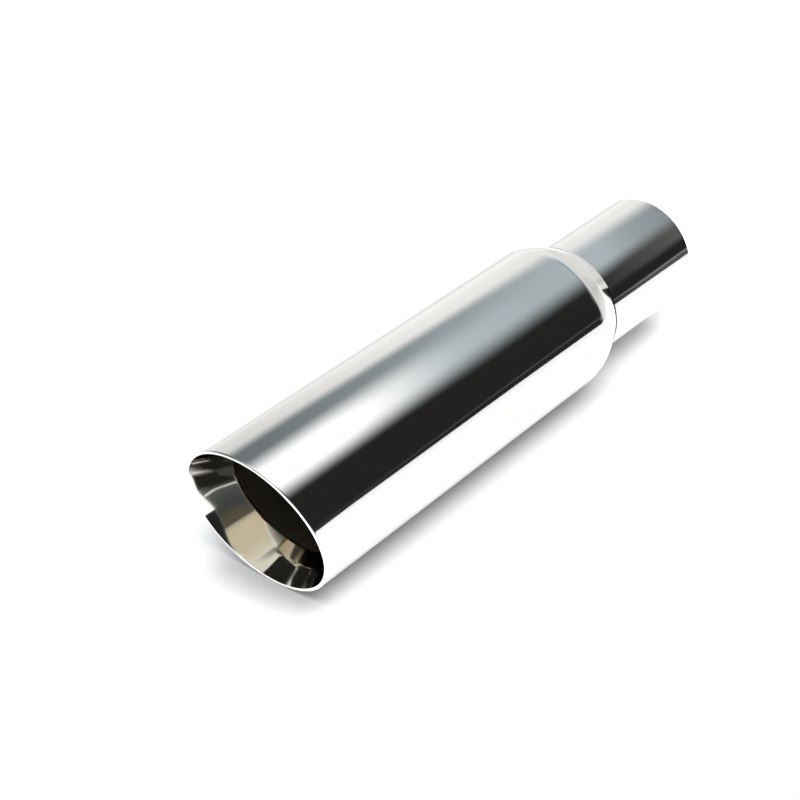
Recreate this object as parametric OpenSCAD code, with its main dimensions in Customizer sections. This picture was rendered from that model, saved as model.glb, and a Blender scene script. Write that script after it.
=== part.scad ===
// Double-wall slash-cut exhaust tip.
// An inner pipe runs the whole length. It slips over the tailpipe at one end, and at the other
// it flares out to the rim of the main tube, which closes on the pipe with a drawn-in shoulder.
// The axis lies along X. The inlet end is at X = 0, centred on the axis, and the mouth points
// to +X, with its long lip on top (+Z).

/* [Main tube] */
// Outside diameter of the main tube
tube_od = 76.2; // [70:0.1:102]
// Wall of the main tube
wall = 1.4; // [1.0:0.1:2.0]
// Length on the axis, from the inlet end to the middle of the mouth
axis_length = 305; // [200:1:450]

/* [Mouth] */
// Slope of the slash cut, measured from a square cut
slash_angle = 15; // [0:1:30]
// Depth of the flare, along the axis from the mouth to where the inner pipe is straight
flare_depth = 20.5; // [12:0.5:60]
// How far the edge of the flare stands inside the wall of the main tube at the rim
flare_edge = 0.1; // [0.1:0.1:0.6]

/* [Shoulder] */
// Half angle of the cone that draws the main tube in
cone_angle = 23; // [15:1:40]
// Outside radius of the bend between the main tube and the cone
bend_r = 32.5; // [10:0.5:40]

/* [Inner pipe] */
// Bore that slips over a tailpipe of 57.15 mm (2.25 in)
inlet_bore_d = 57.4; // [50:0.1:58]
// Wall of the inner pipe and of its flare
inlet_wall = 1.2; // [1.0:0.1:1.6]
// Length of pipe that shows outside the shoulder
inlet_length = 73; // [30:1:120]

/* [Weld] */
// Radius of the ground and polished blend where the pipe meets the shoulder
blend_r = 6; // [2:1:60]
// Height of that blend on the lip of the shoulder
blend_height = 1; // [0.4:0.1:1.2]

/* [Hidden] */
$fn = 120;

steel = "#c9ccd0";
tube_r = tube_od / 2;
bore_r = inlet_bore_d / 2;
pipe_r = bore_r + inlet_wall;

// The cone ends where its inner face meets the inner pipe
lip_r = pipe_r + wall / cos(cone_angle);
// The bend is no larger than the step from the main tube to the lip has room for
bend = min(bend_r, 0.9 * (tube_r - lip_r) / (1 - cos(cone_angle)));
bend_drop = bend * (1 - cos(cone_angle));
bend_length = bend * sin(cone_angle);
cone_length = (tube_r - bend_drop - lip_r) / tan(cone_angle);
shoulder_end = inlet_length + cone_length + bend_length;

// The long lip of the mouth stands this far past the middle of the mouth
lip_reach = tube_r * tan(slash_angle);
stock_length = axis_length + lip_reach + 10;

// Inner edge of the rim, and how fast the flare closes with depth
rim_r = tube_r - wall - flare_edge;
flare_slope = (rim_r - bore_r) / flare_depth;
flare_wall = inlet_wall * sqrt(1 + pow(flare_slope, 2));

blend_length = sqrt(2 * blend_r * blend_height - pow(blend_height, 2));

// Half section of the main tube and its shoulder, as radius against X.
// skin is the depth below the outer surface: 0 gives the outside, wall gives the inside.
module shell_outline(skin) {
  r = tube_r - skin;
  bend_end_r = tube_r - bend_drop - skin * cos(cone_angle);
  bend_end_x = shoulder_end - (bend - skin) * sin(cone_angle);
  tip_r = lip_r - skin / cos(cone_angle);
  past = 1;

  difference() {
    translate([0, inlet_length])
      square([r, stock_length - inlet_length]);

    // what lies outside the cone, and outside the arc that joins it to the straight part
    difference() {
      polygon([
        [tip_r - past * tan(cone_angle), inlet_length - past],
        [r + past, inlet_length - past],
        [r + past, shoulder_end],
        [r, shoulder_end],
        [bend_end_r, bend_end_x]
      ]);
      translate([tube_r - bend, shoulder_end])
        circle(r = bend - skin);
    }
  }
}

// Main tube with its drawn-in shoulder
module main_tube() {
  rotate_extrude()
    difference() {
      shell_outline(0);
      shell_outline(wall);
    }
}

// Inner pipe before it is bored, with the weld blended into the lip of the shoulder
module pipe_stock() {
  rotate_extrude() {
    square([pipe_r, stock_length]);
    difference() {
      translate([pipe_r - inlet_wall / 2, inlet_length - blend_length])
        square([blend_height + inlet_wall / 2, blend_length + wall / 2]);
      translate([pipe_r + blend_r, inlet_length - blend_length])
        circle(r = blend_r);
    }
  }
}

// Ring of points where a cylinder of radius r meets a plane parallel to the mouth, depth below it
function mouth_ring(r, depth) = [
  for (i = [0 : $fn - 1])
    let (a = 360 * i / $fn)
      [axis_length - depth + r * cos(a) * tan(slash_angle), r * sin(a), r * cos(a)]
];

// Cone between two such rings, slanted like the mouth. grow is added to the radius of the flare.
module slanted_cone(depth_near, depth_far, grow) {
  n = $fn;
  polyhedron(
    points = concat(
      mouth_ring(rim_r + grow - depth_near * flare_slope, depth_near),
      mouth_ring(rim_r + grow - depth_far * flare_slope, depth_far)
    ),
    faces = concat(
      [[for (i = [0 : n - 1]) i]],
      [[for (i = [0 : n - 1]) 2 * n - 1 - i]],
      [for (i = [0 : n - 1]) [i, n + i, n + (i + 1) % n, (i + 1) % n]]
    )
  );
}

// Flared end of the inner pipe, clipped within the wall of the main tube, before it is bored
module flare_stock() {
  intersection() {
    slanted_cone(-1, flare_depth + 1, flare_wall);
    rotate([0, 90, 0])
      cylinder(r = tube_r - wall / 2, h = stock_length);
  }
}

// The way through: the bore of the pipe, opened out at the flare
module way_through() {
  translate([-1, 0, 0])
    rotate([0, 90, 0])
      cylinder(r = bore_r, h = stock_length + 2);
  slanted_cone(-2, flare_depth + 2, 0);
}

// Everything past the slanted mouth plane
module slash_cut() {
  size = 3 * tube_od + stock_length;
  translate([axis_length, 0, 0])
    rotate([0, slash_angle, 0])
      translate([0, -size / 2, -size / 2])
        cube(size);
}

module exhaust_tip() {
  color(steel)
    difference() {
      union() {
        rotate([0, 90, 0]) {
          main_tube();
          pipe_stock();
        }
        flare_stock();
      }
      way_through();
      slash_cut();
    }
}

exhaust_tip();
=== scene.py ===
import math

import bpy
from mathutils import Matrix, Vector


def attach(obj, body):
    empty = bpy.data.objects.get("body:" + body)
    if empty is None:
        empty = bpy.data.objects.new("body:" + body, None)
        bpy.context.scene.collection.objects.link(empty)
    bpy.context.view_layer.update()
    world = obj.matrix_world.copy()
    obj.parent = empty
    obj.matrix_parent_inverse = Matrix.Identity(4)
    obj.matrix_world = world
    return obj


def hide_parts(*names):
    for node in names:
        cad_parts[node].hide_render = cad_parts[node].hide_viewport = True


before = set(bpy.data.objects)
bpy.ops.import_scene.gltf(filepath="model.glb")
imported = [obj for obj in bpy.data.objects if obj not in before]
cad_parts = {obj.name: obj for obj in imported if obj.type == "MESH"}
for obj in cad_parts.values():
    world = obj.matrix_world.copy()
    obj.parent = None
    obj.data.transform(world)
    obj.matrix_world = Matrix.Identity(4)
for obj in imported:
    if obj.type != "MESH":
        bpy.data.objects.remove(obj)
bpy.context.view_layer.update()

MM = 0.001

# Driving sizes of the tip in millimetres and degrees, the same as in the CAD source
TUBE_R = 76.2 / 2
WALL = 1.4
AXIS_LENGTH = 305.0
SLASH = math.radians(15)
FLARE_DEPTH = 20.5
FLARE_EDGE = 0.1
CONE = math.radians(23)
BEND_R = 32.5
BORE_R = 57.4 / 2
PIPE_WALL = 1.2
LIP_X = 73.0

# Sizes that follow from them
PIPE_R = BORE_R + PIPE_WALL
RIM_R = TUBE_R - WALL - FLARE_EDGE
LIP_R = PIPE_R + WALL / math.cos(CONE)
BEND_END_R = TUBE_R - BEND_R * (1 - math.cos(CONE))
BEND_END_X = LIP_X + (BEND_END_R - LIP_R) / math.tan(CONE)
SHOULDER_END = BEND_END_X + BEND_R * math.sin(CONE)
SHEAR = math.tan(SLASH)
FLARE_SLOPE = -(RIM_R - BORE_R) / FLARE_DEPTH
FLOOR_Z = -TUBE_R

# Finishing details that only show close up
EDGE_ROUND = 0.7       # polished-over outer edge of the mouth
INNER_ROUND = 0.12     # eased inner edge of the mouth
END_ROUND = 0.25       # eased edges of the inlet end
FLARE_TURN = 1.2       # half of the length over which the flare turns into the pipe
UNEVEN_DEPTH = 12.0    # depth over which the flare evens out
WELD_HEIGHT = 1.0      # height of the polished weld on the lip of the shoulder
WELD_RUN = 1.8         # how far it runs out along the pipe
STEPS = 480            # points around the tube

WHITE = (1.0, 1.0, 1.0)
DEEP_METAL = 0.35      # how metallic the deep inside of the pipe is


class Graph:
    """Short calls for building a node tree."""

    def __init__(self, tree):
        self.tree = tree
        tree.nodes.clear()

    def node(self, kind, **props):
        n = self.tree.nodes.new(kind)
        for k, v in props.items():
            setattr(n, k, v)
        return n

    def put(self, socket, value):
        if isinstance(value, bpy.types.NodeSocket):
            self.tree.links.new(value, socket)
        elif value is not None:
            socket.default_value = value

    def math(self, op, a, b=None, c=None, clamp=False):
        n = self.node("ShaderNodeMath", operation=op, use_clamp=clamp)
        for s, v in zip(n.inputs, (a, b, c)):
            self.put(s, v)
        return n.outputs[0]

    def product(self, *factors):
        total = factors[0]
        for f in factors[1:]:
            total = self.math("MULTIPLY", total, f)
        return total

    def ramp(self, x, lo, hi, smooth=True):
        """0 at lo and 1 at hi, and level past them. lo may be the larger."""
        n = self.node("ShaderNodeMapRange", interpolation_type="SMOOTHSTEP" if smooth else "LINEAR")
        self.put(n.inputs["Value"], x)
        self.put(n.inputs["From Min"], lo)
        self.put(n.inputs["From Max"], hi)
        return n.outputs["Result"]

    def window(self, x, middle, half, soft):
        """1 within half of middle, falling to 0 over soft past that."""
        off = self.math("ABSOLUTE", self.math("SUBTRACT", x, middle))
        return self.ramp(off, half + soft, half)

    def curve(self, x, points):
        """Piecewise linear number through (x, y) points, as a sum of short ramps."""
        total = points[0][1]
        for (x0, y0), (x1, y1) in zip(points, points[1:]):
            if y1 != y0:
                step = self.math("MULTIPLY", self.ramp(x, x0, x1, smooth=False), y1 - y0)
                total = self.math("ADD", total, step)
        return total

    def mix(self, factor, a, b):
        n = self.node("ShaderNodeMix", data_type="RGBA")
        self.put(n.inputs[0], factor)
        for s, v in zip((n.inputs[6], n.inputs[7]), (a, b)):
            if isinstance(v, tuple):
                v = (*v, 1.0)
            self.put(s, v)
        return n.outputs[2]

    def scale(self, colour, by):
        n = self.node("ShaderNodeVectorMath", operation="SCALE")
        self.put(n.inputs[0], colour)
        self.put(n.inputs["Scale"], by)
        return n.outputs[0]

    def add(self, a, b):
        n = self.node("ShaderNodeVectorMath", operation="ADD")
        self.put(n.inputs[0], a)
        self.put(n.inputs[1], b)
        return n.outputs[0]

    def choose(self, factor, a, b):
        """Shader a at factor 0, shader b at factor 1."""
        n = self.node("ShaderNodeMixShader")
        self.put(n.inputs[0], factor)
        self.put(n.inputs[1], a)
        self.put(n.inputs[2], b)
        return n.outputs[0]

    def both(self, a, b):
        n = self.node("ShaderNodeAddShader")
        self.put(n.inputs[0], a)
        self.put(n.inputs[1], b)
        return n.outputs[0]


def make_camera():
    data = bpy.data.cameras.new("camera")
    data.sensor_width = 36.0
    data.lens = 81.0034
    data.clip_start = 0.01
    cam = bpy.data.objects.new("camera", data)
    bpy.context.scene.collection.objects.link(cam)
    right = Vector((-0.6170349, 0.7869358, 0.0))
    down = Vector((0.4263268, 0.3342821, -0.8405361))
    forward = Vector((-0.6614479, -0.5186401, -0.5417556))
    m = Matrix((right, -down, -forward)).transposed().to_4x4()
    m.translation = Vector((744.169, 421.390, 451.496)) * MM
    cam.matrix_world = m
    bpy.context.scene.camera = cam


def ceiling_and_softbox(g, along, turn):
    """Ceiling with the soft-edged light under it and its dim tail. The mouth mirrors the near end of
    the room, so a small lamp and an olive patch there are for the mouth."""
    level = g.curve(along, [
        (-0.75, 0.07), (-0.69, 0.09), (-0.60, 0.13), (-0.50, 0.20), (0.60, 0.22), (0.66, 0.33),
        (0.70, 0.42), (0.74, 0.52), (0.757, 0.60), (0.768, 0.46), (0.785, 0.33), (0.82, 0.70), (0.86, 0.88)])
    colour = g.scale((0.875, 1.0, 1.065), level)
    across = g.product(g.ramp(turn, -33.0, 6.0), g.ramp(turn, 66.0, 30.0), g.ramp(along, -0.50, -0.42))
    colour = g.mix(g.product(across, g.ramp(along, 0.76, 0.69)), colour, (0.54, 0.61, 0.65))
    ends = g.ramp(along, 0.70, 0.62)
    colour = g.mix(g.product(across, ends), colour, (1.6, 1.6, 1.6))
    front_lamp = g.product(g.window(along, -0.557, 0.006, 0.012), g.window(turn, 22.0, 7.0, 5.0))
    colour = g.mix(front_lamp, colour, (1.3, 1.3, 1.3))
    olive = g.product(g.ramp(along, -0.725, -0.745), g.ramp(turn, -28.0, -40.0))
    return g.mix(olive, colour, (0.13, 0.12, 0.085))


def dark_half(g, along, turn, colour):
    """Dark half of the room, on the camera's side, with a dim streak and a light far end."""
    streak = g.curve(along, [(0.745, 0.0), (0.785, 0.10), (0.82, 0.18)])
    streak = g.product(streak, g.ramp(turn, 76.0, 60.0))
    far = g.curve(along, [(0.795, 0.02), (0.815, 0.20), (0.84, 0.72), (0.88, 0.88)])
    room = g.scale((1.0, 0.98, 0.95), g.math("ADD", streak, far))
    edge = g.curve(along, [
        (0.50, 50.0), (0.60, 46.0), (0.66, 46.0), (0.70, 50.0), (0.745, 49.0), (0.77, 46.0)])
    return g.mix(g.ramp(turn, 14.0, edge), colour, room)


def backdrop(g, along, turn, colour):
    """White sweep behind the object, which rises to a slanting soft top edge."""
    top = g.curve(along, [
        (-0.68, -97.0), (-0.60, -84.0), (0.0, -84.0), (0.62, -55.0), (0.68, -48.0),
        (0.74, -39.0), (0.80, -32.0)])
    soft = g.curve(along, [(0.70, 10.0), (0.77, 20.0)])
    above = g.math("DIVIDE", g.math("SUBTRACT", turn, top), soft)
    sweep = g.mix(g.ramp(turn, -95.0, -60.0), (1.12, 1.12, 1.10), (1.0, 1.0, 0.99))
    sweep = g.scale(sweep, g.curve(along, [(0.60, 0.82), (0.68, 1.0)]))
    return g.mix(g.ramp(above, 1.0, -1.0), colour, sweep)


def below_table(g, along, turn, dy, dz, colour):
    """White sweep past the table's far edges, and the dark past its near edge, with one thin pale line."""
    low = g.ramp(dz, 0.001, -0.001, smooth=False)
    near = g.ramp(dy, -0.001, 0.001, smooth=False)
    shade = g.curve(along, [(0.745, 0.02), (0.765, 0.09), (0.795, 0.11), (0.84, 0.9)])
    far_side = g.scale((1.06, 1.06, 1.05), g.curve(along, [(-0.70, 0.45), (-0.50, 1.0)]))
    colour = g.mix(low, colour, g.mix(near, far_side, g.scale(WHITE, shade)))
    middle = g.curve(along, [(0.60, 94.0), (0.65, 92.0), (0.70, 90.0), (0.745, 90.0), (0.765, 93.5)])
    line = g.ramp(g.math("ABSOLUTE", g.math("SUBTRACT", turn, middle)), 1.6, 0.3)
    level = g.curve(along, [(0.60, 0.02), (0.70, 0.06), (0.745, 0.07), (0.765, 0.22)])
    line = g.product(line, g.ramp(along, 0.80, 0.78), level)
    return g.add(colour, g.scale(WHITE, line))


def far_end(g, along, turn, colour):
    """Light end wall past the inlet end, which the shoulder shows as one even band."""
    wall = g.scale((1.0, 1.0, 0.985), g.curve(turn, [(5.0, 0.86), (55.0, 0.66), (95.0, 0.95)]))
    return g.mix(g.ramp(along, 0.825, 0.88), colour, wall)


def near_end(g, along, turn, colour):
    """End wall past what the mouth shows: light, with a dim strip and a dark side."""
    level = g.curve(turn, [
        (-110.0, 0.95), (-45.0, 0.85), (-25.0, 0.35), (-8.0, 0.42), (8.0, 0.95), (36.0, 0.95),
        (60.0, 0.10), (84.0, 0.06), (92.0, 0.95)])
    wall = g.scale((0.94, 1.0, 1.03), level)
    return g.mix(g.ramp(along, -0.77, -0.84), colour, wall)


def background(g, tint, strength=1.0):
    n = g.node("ShaderNodeBackground")
    g.put(n.inputs["Color"], (*tint, 1.0) if isinstance(tint, tuple) else tint)
    g.put(n.inputs["Strength"], strength)
    return n.outputs[0]


def make_world():
    world = bpy.data.worlds.new("studio")
    bpy.context.scene.world = world
    world.use_nodes = True
    g = Graph(world.node_tree)

    sep = g.node("ShaderNodeSeparateXYZ")
    g.put(sep.inputs[0], g.node("ShaderNodeTexCoord").outputs["Generated"])
    dx, dy, dz = sep.outputs
    along = g.math("MULTIPLY", dx, -1.0)                     # 1 looks towards the inlet end
    turn = g.math("DEGREES", g.math("ARCTAN2", dy, dz))      # 0 is up, 90 is the camera's side

    colour = ceiling_and_softbox(g, along, turn)
    colour = dark_half(g, along, turn, colour)
    colour = backdrop(g, along, turn, colour)
    colour = below_table(g, along, turn, dy, dz, colour)
    colour = far_end(g, along, turn, colour)
    colour = near_end(g, along, turn, colour)

    # the studio shows in the steel and through glass, plain light falls on the rest, and the view is white
    path = g.node("ShaderNodeLightPath").outputs
    glossy = g.math("ADD", path["Is Glossy Ray"], path["Is Transmission Ray"], clamp=True)
    direct = g.math("LESS_THAN", path["Diffuse Depth"], 0.5)
    passed_on = g.product(glossy, g.math("SUBTRACT", 1.0, direct))
    plain = background(g, (0.97, 0.985, 1.0), g.math("MULTIPLY_ADD", passed_on, -0.38, 0.5))
    shader = g.choose(g.product(glossy, direct), plain, background(g, colour))
    shader = g.choose(path["Is Camera Ray"], shader, background(g, WHITE))
    g.put(g.node("ShaderNodeOutputWorld").inputs["Surface"], shader)


def make_lamp():
    data = bpy.data.lights.new("softbox", "AREA")
    data.shape = "RECTANGLE"
    data.size = 1.3
    data.size_y = 0.8
    data.energy = 12.5
    lamp = bpy.data.objects.new("softbox", data)
    lamp.location = (0.58, 0.52, 1.36)
    aim = Vector((0.15, 0.0, 0.0)) - lamp.location
    lamp.rotation_euler = aim.to_track_quat("-Z", "Y").to_euler()
    lamp.visible_glossy = False
    lamp.visible_camera = False
    bpy.context.scene.collection.objects.link(lamp)


def matt(g, level, tint=WHITE):
    n = g.node("ShaderNodeBsdfDiffuse")
    if isinstance(tint, tuple):
        n.inputs["Color"].default_value = (*(level * v for v in tint), 1.0)
    else:
        g.put(n.inputs["Color"], g.scale(tint, level))
    return n.outputs[0]


def floor_in_steel(g, x, y, ray_depth):
    """Painted light and shade of the floor in the steel, and a painted cream tint. The outside shows it in
    first reflections, and the mouth, where one side shows in the other, in later ones."""
    again = g.math("GREATER_THAN", ray_depth, 1.5)
    first = g.math("LESS_THAN", ray_depth, 1.5)

    # later reflections: painted shade in front of the mouth, and a painted cream reflection past its middle
    painted_shade_in_front = g.product(g.ramp(x, 0.31, 0.345), again)
    painted_cream_reflection = g.product(painted_shade_in_front, g.ramp(y, 0.03, -0.005))
    tint = g.mix(painted_shade_in_front, WHITE, (0.75, 0.75, 0.68))
    tint = g.mix(painted_cream_reflection, tint, (0.63, 0.57, 0.44))

    # first reflections: the tube's own shadow is lightened
    away = g.math("ABSOLUTE", y)
    lift = g.curve(away, [
        (0.008, 1.2), (0.018, 0.9), (0.027, 0.55), (0.037, 0.25), (0.05, 0.1), (0.09, 0.0)])
    under_body = g.product(
        g.curve(away, [(0.008, 0.0), (0.018, 0.7), (0.027, 0.0)]), g.ramp(x, 0.075, 0.095))
    lift = g.math("MULTIPLY_ADD", g.math("ADD", lift, under_body), first, 1.0)

    # all reflections: dimmer towards the edges
    edges = g.curve(y, [
        (-0.40, 0.88), (-0.30, 0.91), (-0.12, 1.0), (0.15, 1.0), (0.35, 0.84), (0.46, 0.74)])
    tint = g.scale(tint, g.product(lift, edges))

    # later reflections: the contact shadow under the lip and the shade beside it
    under_lip = g.curve(x, [(0.2965, 0.05), (0.298, 0.2), (0.300, 0.5), (0.302, 1.0)])
    beside = g.curve(y, [(0.024, 1.0), (0.038, 0.22), (0.07, 0.1), (0.12, 0.05)])
    beside = g.math("MAXIMUM", beside, g.ramp(x, 0.36, 0.40))
    shade = g.product(under_lip, beside)
    return g.scale(tint, g.math("MULTIPLY_ADD", g.math("SUBTRACT", shade, 1.0), again, 1.0))


def floor_to_camera(g, x, y):
    """Painted light and shade of the floor in plain view: a little painted light at the inlet end, and a
    painted shadow under the mouth.
    """
    painted_light_at_inlet_end = g.curve(x, [(0.0, 1.2), (0.09, 1.0)])
    painted_shadow_under_mouth = g.product(
        g.curve(x, [(0.285, 0.0), (0.297, 0.30), (0.304, 0.22), (0.320, 0.0)]),
        g.window(y, 0.0, 0.020, 0.020))
    return g.scale(WHITE, g.math("SUBTRACT", painted_light_at_inlet_end, painted_shadow_under_mouth))


def make_floor():
    # table top in metres: its near edge runs from the front right to the inlet end, and steps in behind it
    z = FLOOR_Z * MM - 0.00002
    outline = [
        (-0.90, -0.90), (1.20, -0.90), (1.20, -0.389), (-0.05, 0.455),
        (-0.19, 0.40), (-0.23, 0.34), (-0.235, 0.22), (-0.60, 0.20), (-0.90, 0.20)]
    mesh = bpy.data.meshes.new("floor")
    mesh.from_pydata([(x, y, z) for x, y in outline], [], [tuple(range(len(outline)))])
    floor = bpy.data.objects.new("floor", mesh)
    bpy.context.scene.collection.objects.link(floor)
    mat = bpy.data.materials.new("floor_white")
    mat.use_nodes = True
    g = Graph(mat.node_tree)
    place = g.node("ShaderNodeSeparateXYZ")
    g.put(place.inputs[0], g.node("ShaderNodeNewGeometry").outputs["Position"])
    x, y, _ = place.outputs
    path = g.node("ShaderNodeLightPath").outputs
    direct = g.math("LESS_THAN", path["Diffuse Depth"], 0.5)
    # painted light and shade of the floor, as the steel and the camera see it
    tint = floor_in_steel(g, x, y, path["Ray Depth"])
    paper = floor_to_camera(g, x, y)

    # overexposed white paper, to the camera and in the steel, and plain paper for the light it passes on
    shown = g.product(path["Is Glossy Ray"], direct)
    passed_on = g.product(path["Is Glossy Ray"], g.math("SUBTRACT", 1.0, direct))
    shader = g.choose(passed_on, matt(g, 0.8), matt(g, 0.2))
    shader = g.choose(shown, shader, g.both(matt(g, 0.8, tint), matt(g, 0.65, tint)))
    shader = g.choose(path["Is Camera Ray"], shader, g.both(matt(g, 0.8, paper), matt(g, 0.9, paper)))
    g.put(g.node("ShaderNodeOutputMaterial").inputs["Surface"], shader)
    mesh.materials.append(mat)


def ring_point(x, r, a):
    """Point at radius r, turned by a from the top towards the camera's side."""
    return Vector((x, r * math.sin(a), r * math.cos(a)))


def ring_normal(nx, nr, a):
    return Vector((nx, nr * math.sin(a), nr * math.cos(a))).normalized()


def row(x, r, nx, nr):
    """A square ring: one row of the surface, as a function of a that returns (point, normal)."""
    return lambda a: (ring_point(x, r, a), ring_normal(nx, nr, a))


def arc(cx, cr, radius, start, stop, steps):
    """Square rings on an arc about (cx, cr), from start to stop in degrees from +r towards +x."""
    rows = []
    for i in range(steps + 1):
        t = math.radians(start + (stop - start) * i / steps)
        nx, nr = math.sin(t), math.cos(t)
        rows.append(row(cx + radius * nx, cr + radius * nr, nx, nr))
    return rows


def even(make, steps):
    """Rows of make(t) at even steps of t from 0 to 1."""
    return [make(i / steps) for i in range(steps + 1)]


def turned(n_from, n_to, t):
    """Normal a share t of the way from one to the other."""
    angle = n_from.angle(n_to)
    if angle < 1e-6:
        return n_from.copy()
    return (n_from * math.sin((1 - t) * angle) + n_to * math.sin(t * angle)) / math.sin(angle)


def inlet_pipe():
    """Eased end of the pipe, its outside, the polished weld and the lip of the shoulder."""
    e = END_ROUND

    def pipe_row(t):
        return row(e + (LIP_X - WELD_RUN - e) * t, PIPE_R, 0, 1)

    def weld_row(t):
        x, r = LIP_X - WELD_RUN * (1 - t), PIPE_R + WELD_HEIGHT * t * t
        return row(x, r, -2 * WELD_HEIGHT * t / WELD_RUN, 1)

    lip = [row(LIP_X, PIPE_R + WELD_HEIGHT, -1, 0), row(LIP_X, LIP_R, -1, 0)]
    return [arc(e, PIPE_R - e, e, -90, 0, 6), even(pipe_row, 12), even(weld_row, 10), lip]


def shoulder():
    nx, nr = -math.sin(CONE), math.cos(CONE)

    def cone_row(t):
        return row(LIP_X + (BEND_END_X - LIP_X) * t, LIP_R + (BEND_END_R - LIP_R) * t, nx, nr)

    bend = arc(SHOULDER_END, TUBE_R - BEND_R, BEND_R, -math.degrees(CONE), 0, 24)
    return [even(cone_row, 8), bend]


def edge_centre(a):
    """Centre of the rounding along the outer edge of the mouth."""
    p = ring_point(0, TUBE_R - EDGE_ROUND, a)
    p.x = AXIS_LENGTH + p.z * SHEAR - EDGE_ROUND / math.cos(SLASH)
    return p


def rim_point(r, a):
    """Point of the mouth's slanting plane."""
    p = ring_point(0, r, a)
    p.x = AXIS_LENGTH + p.z * SHEAR
    return p


def tube_and_rim():
    """Main tube, its rounded outer edge, the flat rim and the eased inner edge."""
    facing = Vector((math.cos(SLASH), 0, -math.sin(SLASH)))
    inner_r = RIM_R + INNER_ROUND
    inner_depth = INNER_ROUND * 1.5

    def tube_row(t):
        def at(a):
            x = SHOULDER_END + (edge_centre(a).x - SHOULDER_END) * t
            return ring_point(x, TUBE_R, a), ring_normal(0, 1, a)
        return at

    def edge_row(t):
        def at(a):
            n = turned(ring_normal(0, 1, a), facing, t)
            return edge_centre(a) + n * EDGE_ROUND, n
        return at

    def rim_row(t):
        return lambda a: ((edge_centre(a) + facing * EDGE_ROUND).lerp(rim_point(inner_r, a), t), facing)

    def inner_row(t):
        def at(a):
            end, n = flare_point(inner_depth, a)
            p = rim_point(inner_r, a) * (1 - t) ** 2 + rim_point(RIM_R, a) * 2 * t * (1 - t) + end * t ** 2
            return p, turned(facing, n, t)
        return at

    return [even(tube_row, 40), even(edge_row, 10), even(rim_row, 2), even(inner_row, 4)]


def hump(a, middle, before, after):
    """1 at the angle middle, falling off smoothly over the widths before and after it, all in degrees."""
    off = math.degrees(math.remainder(a - math.radians(middle), 2 * math.pi))
    return math.exp(-(off / (after if off > 0 else before)) ** 2)


def uneven(a):
    """How much less steeply the hand-finished flare leaves the rim here."""
    return 0.0625 * hump(a, 267, 22, 16) - 0.03 * hump(a, 207, 10, 10)


def flare_point(depth, a):
    """Point and normal of the inside at this depth below the mouth: flare, its turn, then the pipe."""
    if depth <= FLARE_DEPTH - FLARE_TURN:
        r, slope = RIM_R + FLARE_SLOPE * depth, FLARE_SLOPE
    elif depth >= FLARE_DEPTH + FLARE_TURN:
        r, slope = BORE_R, 0.0
    else:
        u = (FLARE_DEPTH + FLARE_TURN - depth) / (2 * FLARE_TURN)
        r, slope = BORE_R - FLARE_SLOPE * FLARE_TURN * u * u, FLARE_SLOPE * u
    share = min(depth / UNEVEN_DEPTH, 1.0)
    bulge = UNEVEN_DEPTH / 2 * (share + math.sin(math.pi * share) / math.pi)
    r += uneven(a) * bulge
    slope += uneven(a) * math.cos(math.pi / 2 * share) ** 2
    step = math.radians(0.5)
    swell = (uneven(a + step) - uneven(a - step)) / (2 * step) * bulge
    s, c = math.sin(a), math.cos(a)
    around = Vector((-(r * s - swell * c) * SHEAR, r * c + swell * s, -r * s + swell * c))
    down = Vector((-1 + slope * c * SHEAR, slope * s, slope * c))
    n = around.cross(down).normalized()
    if n.dot(Vector((0, -s, -c))) < 0:
        n = -n
    return Vector((AXIS_LENGTH - depth + r * c * SHEAR, r * s, r * c)), n


def flare_rows():
    first, turn_at, last = INNER_ROUND * 1.5, FLARE_DEPTH - FLARE_TURN, FLARE_DEPTH + FLARE_TURN
    cone = even(lambda t: lambda a: flare_point(first + (turn_at - first) * t, a), 16)
    turn = even(lambda t: lambda a: flare_point(turn_at + (last - turn_at) * t, a), 10)
    return [cone, turn]


def pipe_inside():
    """Bore of the pipe, down to its eased end."""
    e = END_ROUND

    def bore_row(t):
        def at(a):
            p, n = flare_point(FLARE_DEPTH + FLARE_TURN, a)
            return p.lerp(ring_point(e, BORE_R, a), t), n
        return at

    def end_row(t):
        q = math.radians(90 * t)
        return row(e - e * math.sin(q), BORE_R + e - e * math.cos(q), -math.sin(q), -math.cos(q))

    return [even(bore_row, 24), even(end_row, 6)]


def tip_bands():
    """Bands of the surface in order, as (material slot, rows). Each band starts where the last one ends."""
    end_face = [row(0, BORE_R + END_ROUND, -1, 0), row(0, PIPE_R - END_ROUND, -1, 0)]
    bands = [(0, rows) for rows in inlet_pipe() + shoulder() + tube_and_rim()]
    bands += [(1, rows) for rows in flare_rows()]
    bands += [(2, rows) for rows in pipe_inside()]
    return bands + [(0, end_face)]


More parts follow.
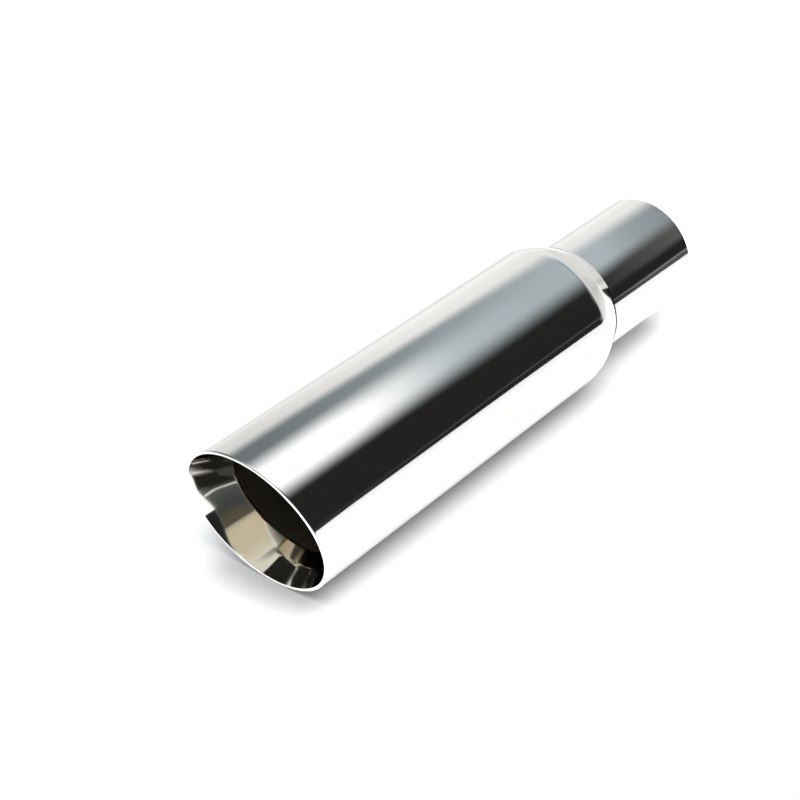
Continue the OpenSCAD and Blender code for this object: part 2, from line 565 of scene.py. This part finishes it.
def make_tip(materials):
    """One closed mesh from the bands, with the true normal of each surface at its corners."""
    angles = [2 * math.pi * i / STEPS for i in range(STEPS)]
    verts, faces, corners, slots = [], [], [], []
    bands = tip_bands()
    first = last = None
    for b, (slot, rows) in enumerate(bands):
        before = None
        for k, make in enumerate(rows):
            ring = [make(a) for a in angles]
            normals = [n for _, n in ring]
            if k == 0 and last is not None:
                index = last
            elif b == len(bands) - 1 and k == len(rows) - 1:
                index = first
            else:
                index = list(range(len(verts), len(verts) + STEPS))
                verts += [p * MM for p, _ in ring]
            if first is None:
                first = index
            if before is not None:
                bi, bn = before
                for i in range(STEPS):
                    j = (i + 1) % STEPS
                    faces.append((bi[i], index[i], index[j], bi[j]))
                    corners += [bn[i], normals[i], normals[j], bn[j]]
                    slots.append(slot)
            before = (index, normals)
            last = index
    mesh = bpy.data.meshes.new("exhaust_tip_polished")
    mesh.from_pydata(verts, [], faces)
    for m in materials:
        mesh.materials.append(m)
    mesh.polygons.foreach_set("material_index", slots)
    mesh.polygons.foreach_set("use_smooth", [True] * len(faces))
    mesh.normals_split_custom_set([tuple(n) for n in corners])
    tip = bpy.data.objects.new("exhaust_tip_polished", mesh)
    bpy.context.scene.collection.objects.link(tip)
    return tip


def steel(name, base, rough, deep=None):
    """Polished steel with faint polishing marks. rough is the lowest and highest roughness.
    deep, where given, is the dull dark surface down a pipe, as (colour, rough, x where it is full,
    x where it starts)."""
    mat = bpy.data.materials.new(name)
    mat.use_nodes = True
    g = Graph(mat.node_tree)
    place = g.node("ShaderNodeTexCoord").outputs["Object"]

    marks_at = g.node("ShaderNodeMapping")
    g.put(marks_at.inputs["Vector"], place)
    marks_at.inputs["Scale"].default_value = (1800.0, 30.0, 30.0)
    marks = g.node("ShaderNodeTexNoise")
    g.put(marks.inputs["Vector"], marks_at.outputs[0])
    marks.inputs["Scale"].default_value = 1.0
    marks.inputs["Detail"].default_value = 3.0
    clouds = g.node("ShaderNodeTexNoise")
    g.put(clouds.inputs["Vector"], place)
    clouds.inputs["Scale"].default_value = 22.0
    clouds.inputs["Detail"].default_value = 2.0

    tint = g.mix(clouds.outputs["Fac"], tuple(0.985 * v for v in base), tuple(1.015 * v for v in base))
    wear = g.math("MULTIPLY_ADD", marks.outputs["Fac"], 0.6, g.math("MULTIPLY", clouds.outputs["Fac"], 0.4))
    gloss = g.math("MULTIPLY_ADD", wear, rough[1] - rough[0], rough[0])
    if deep:
        colour, deep_rough, x_full, x_start = deep
        sep = g.node("ShaderNodeSeparateXYZ")
        g.put(sep.inputs[0], place)
        depth = g.ramp(sep.outputs[0], x_start, x_full)
        tint = g.mix(depth, tint, colour)
        dull = g.math("MULTIPLY_ADD", wear, deep_rough[1] - deep_rough[0], deep_rough[0])
        gloss = g.math("MULTIPLY_ADD", g.math("SUBTRACT", dull, gloss), depth, gloss)

    shader = g.node("ShaderNodeBsdfPrincipled")
    if deep:
        g.put(shader.inputs["Metallic"], g.math("MULTIPLY_ADD", depth, DEEP_METAL - 1.0, 1.0))
    else:
        shader.inputs["Metallic"].default_value = 1.0
    g.put(shader.inputs["Base Color"], tint)
    g.put(shader.inputs["Roughness"], gloss)
    g.put(g.node("ShaderNodeOutputMaterial").inputs["Surface"], shader.outputs[0])
    return mat


make_camera()
make_world()
make_lamp()
make_floor()

polished = (0.03, 0.07)
outside = steel("polished_steel_outside", (0.80, 0.79, 0.775), polished)
flare = steel("polished_steel_flare", (0.80, 0.775, 0.73), polished)
dull_deep = ((0.30, 0.285, 0.24), (0.42, 0.62), 0.232, 0.262)
inside = steel("pipe_inside", (0.70, 0.65, 0.56), (0.06, 0.14), dull_deep)
tip = make_tip([outside, flare, inside])
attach(tip, "root")
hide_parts("exhaust_tip")

bpy.context.scene.view_settings.view_transform = "Standard"

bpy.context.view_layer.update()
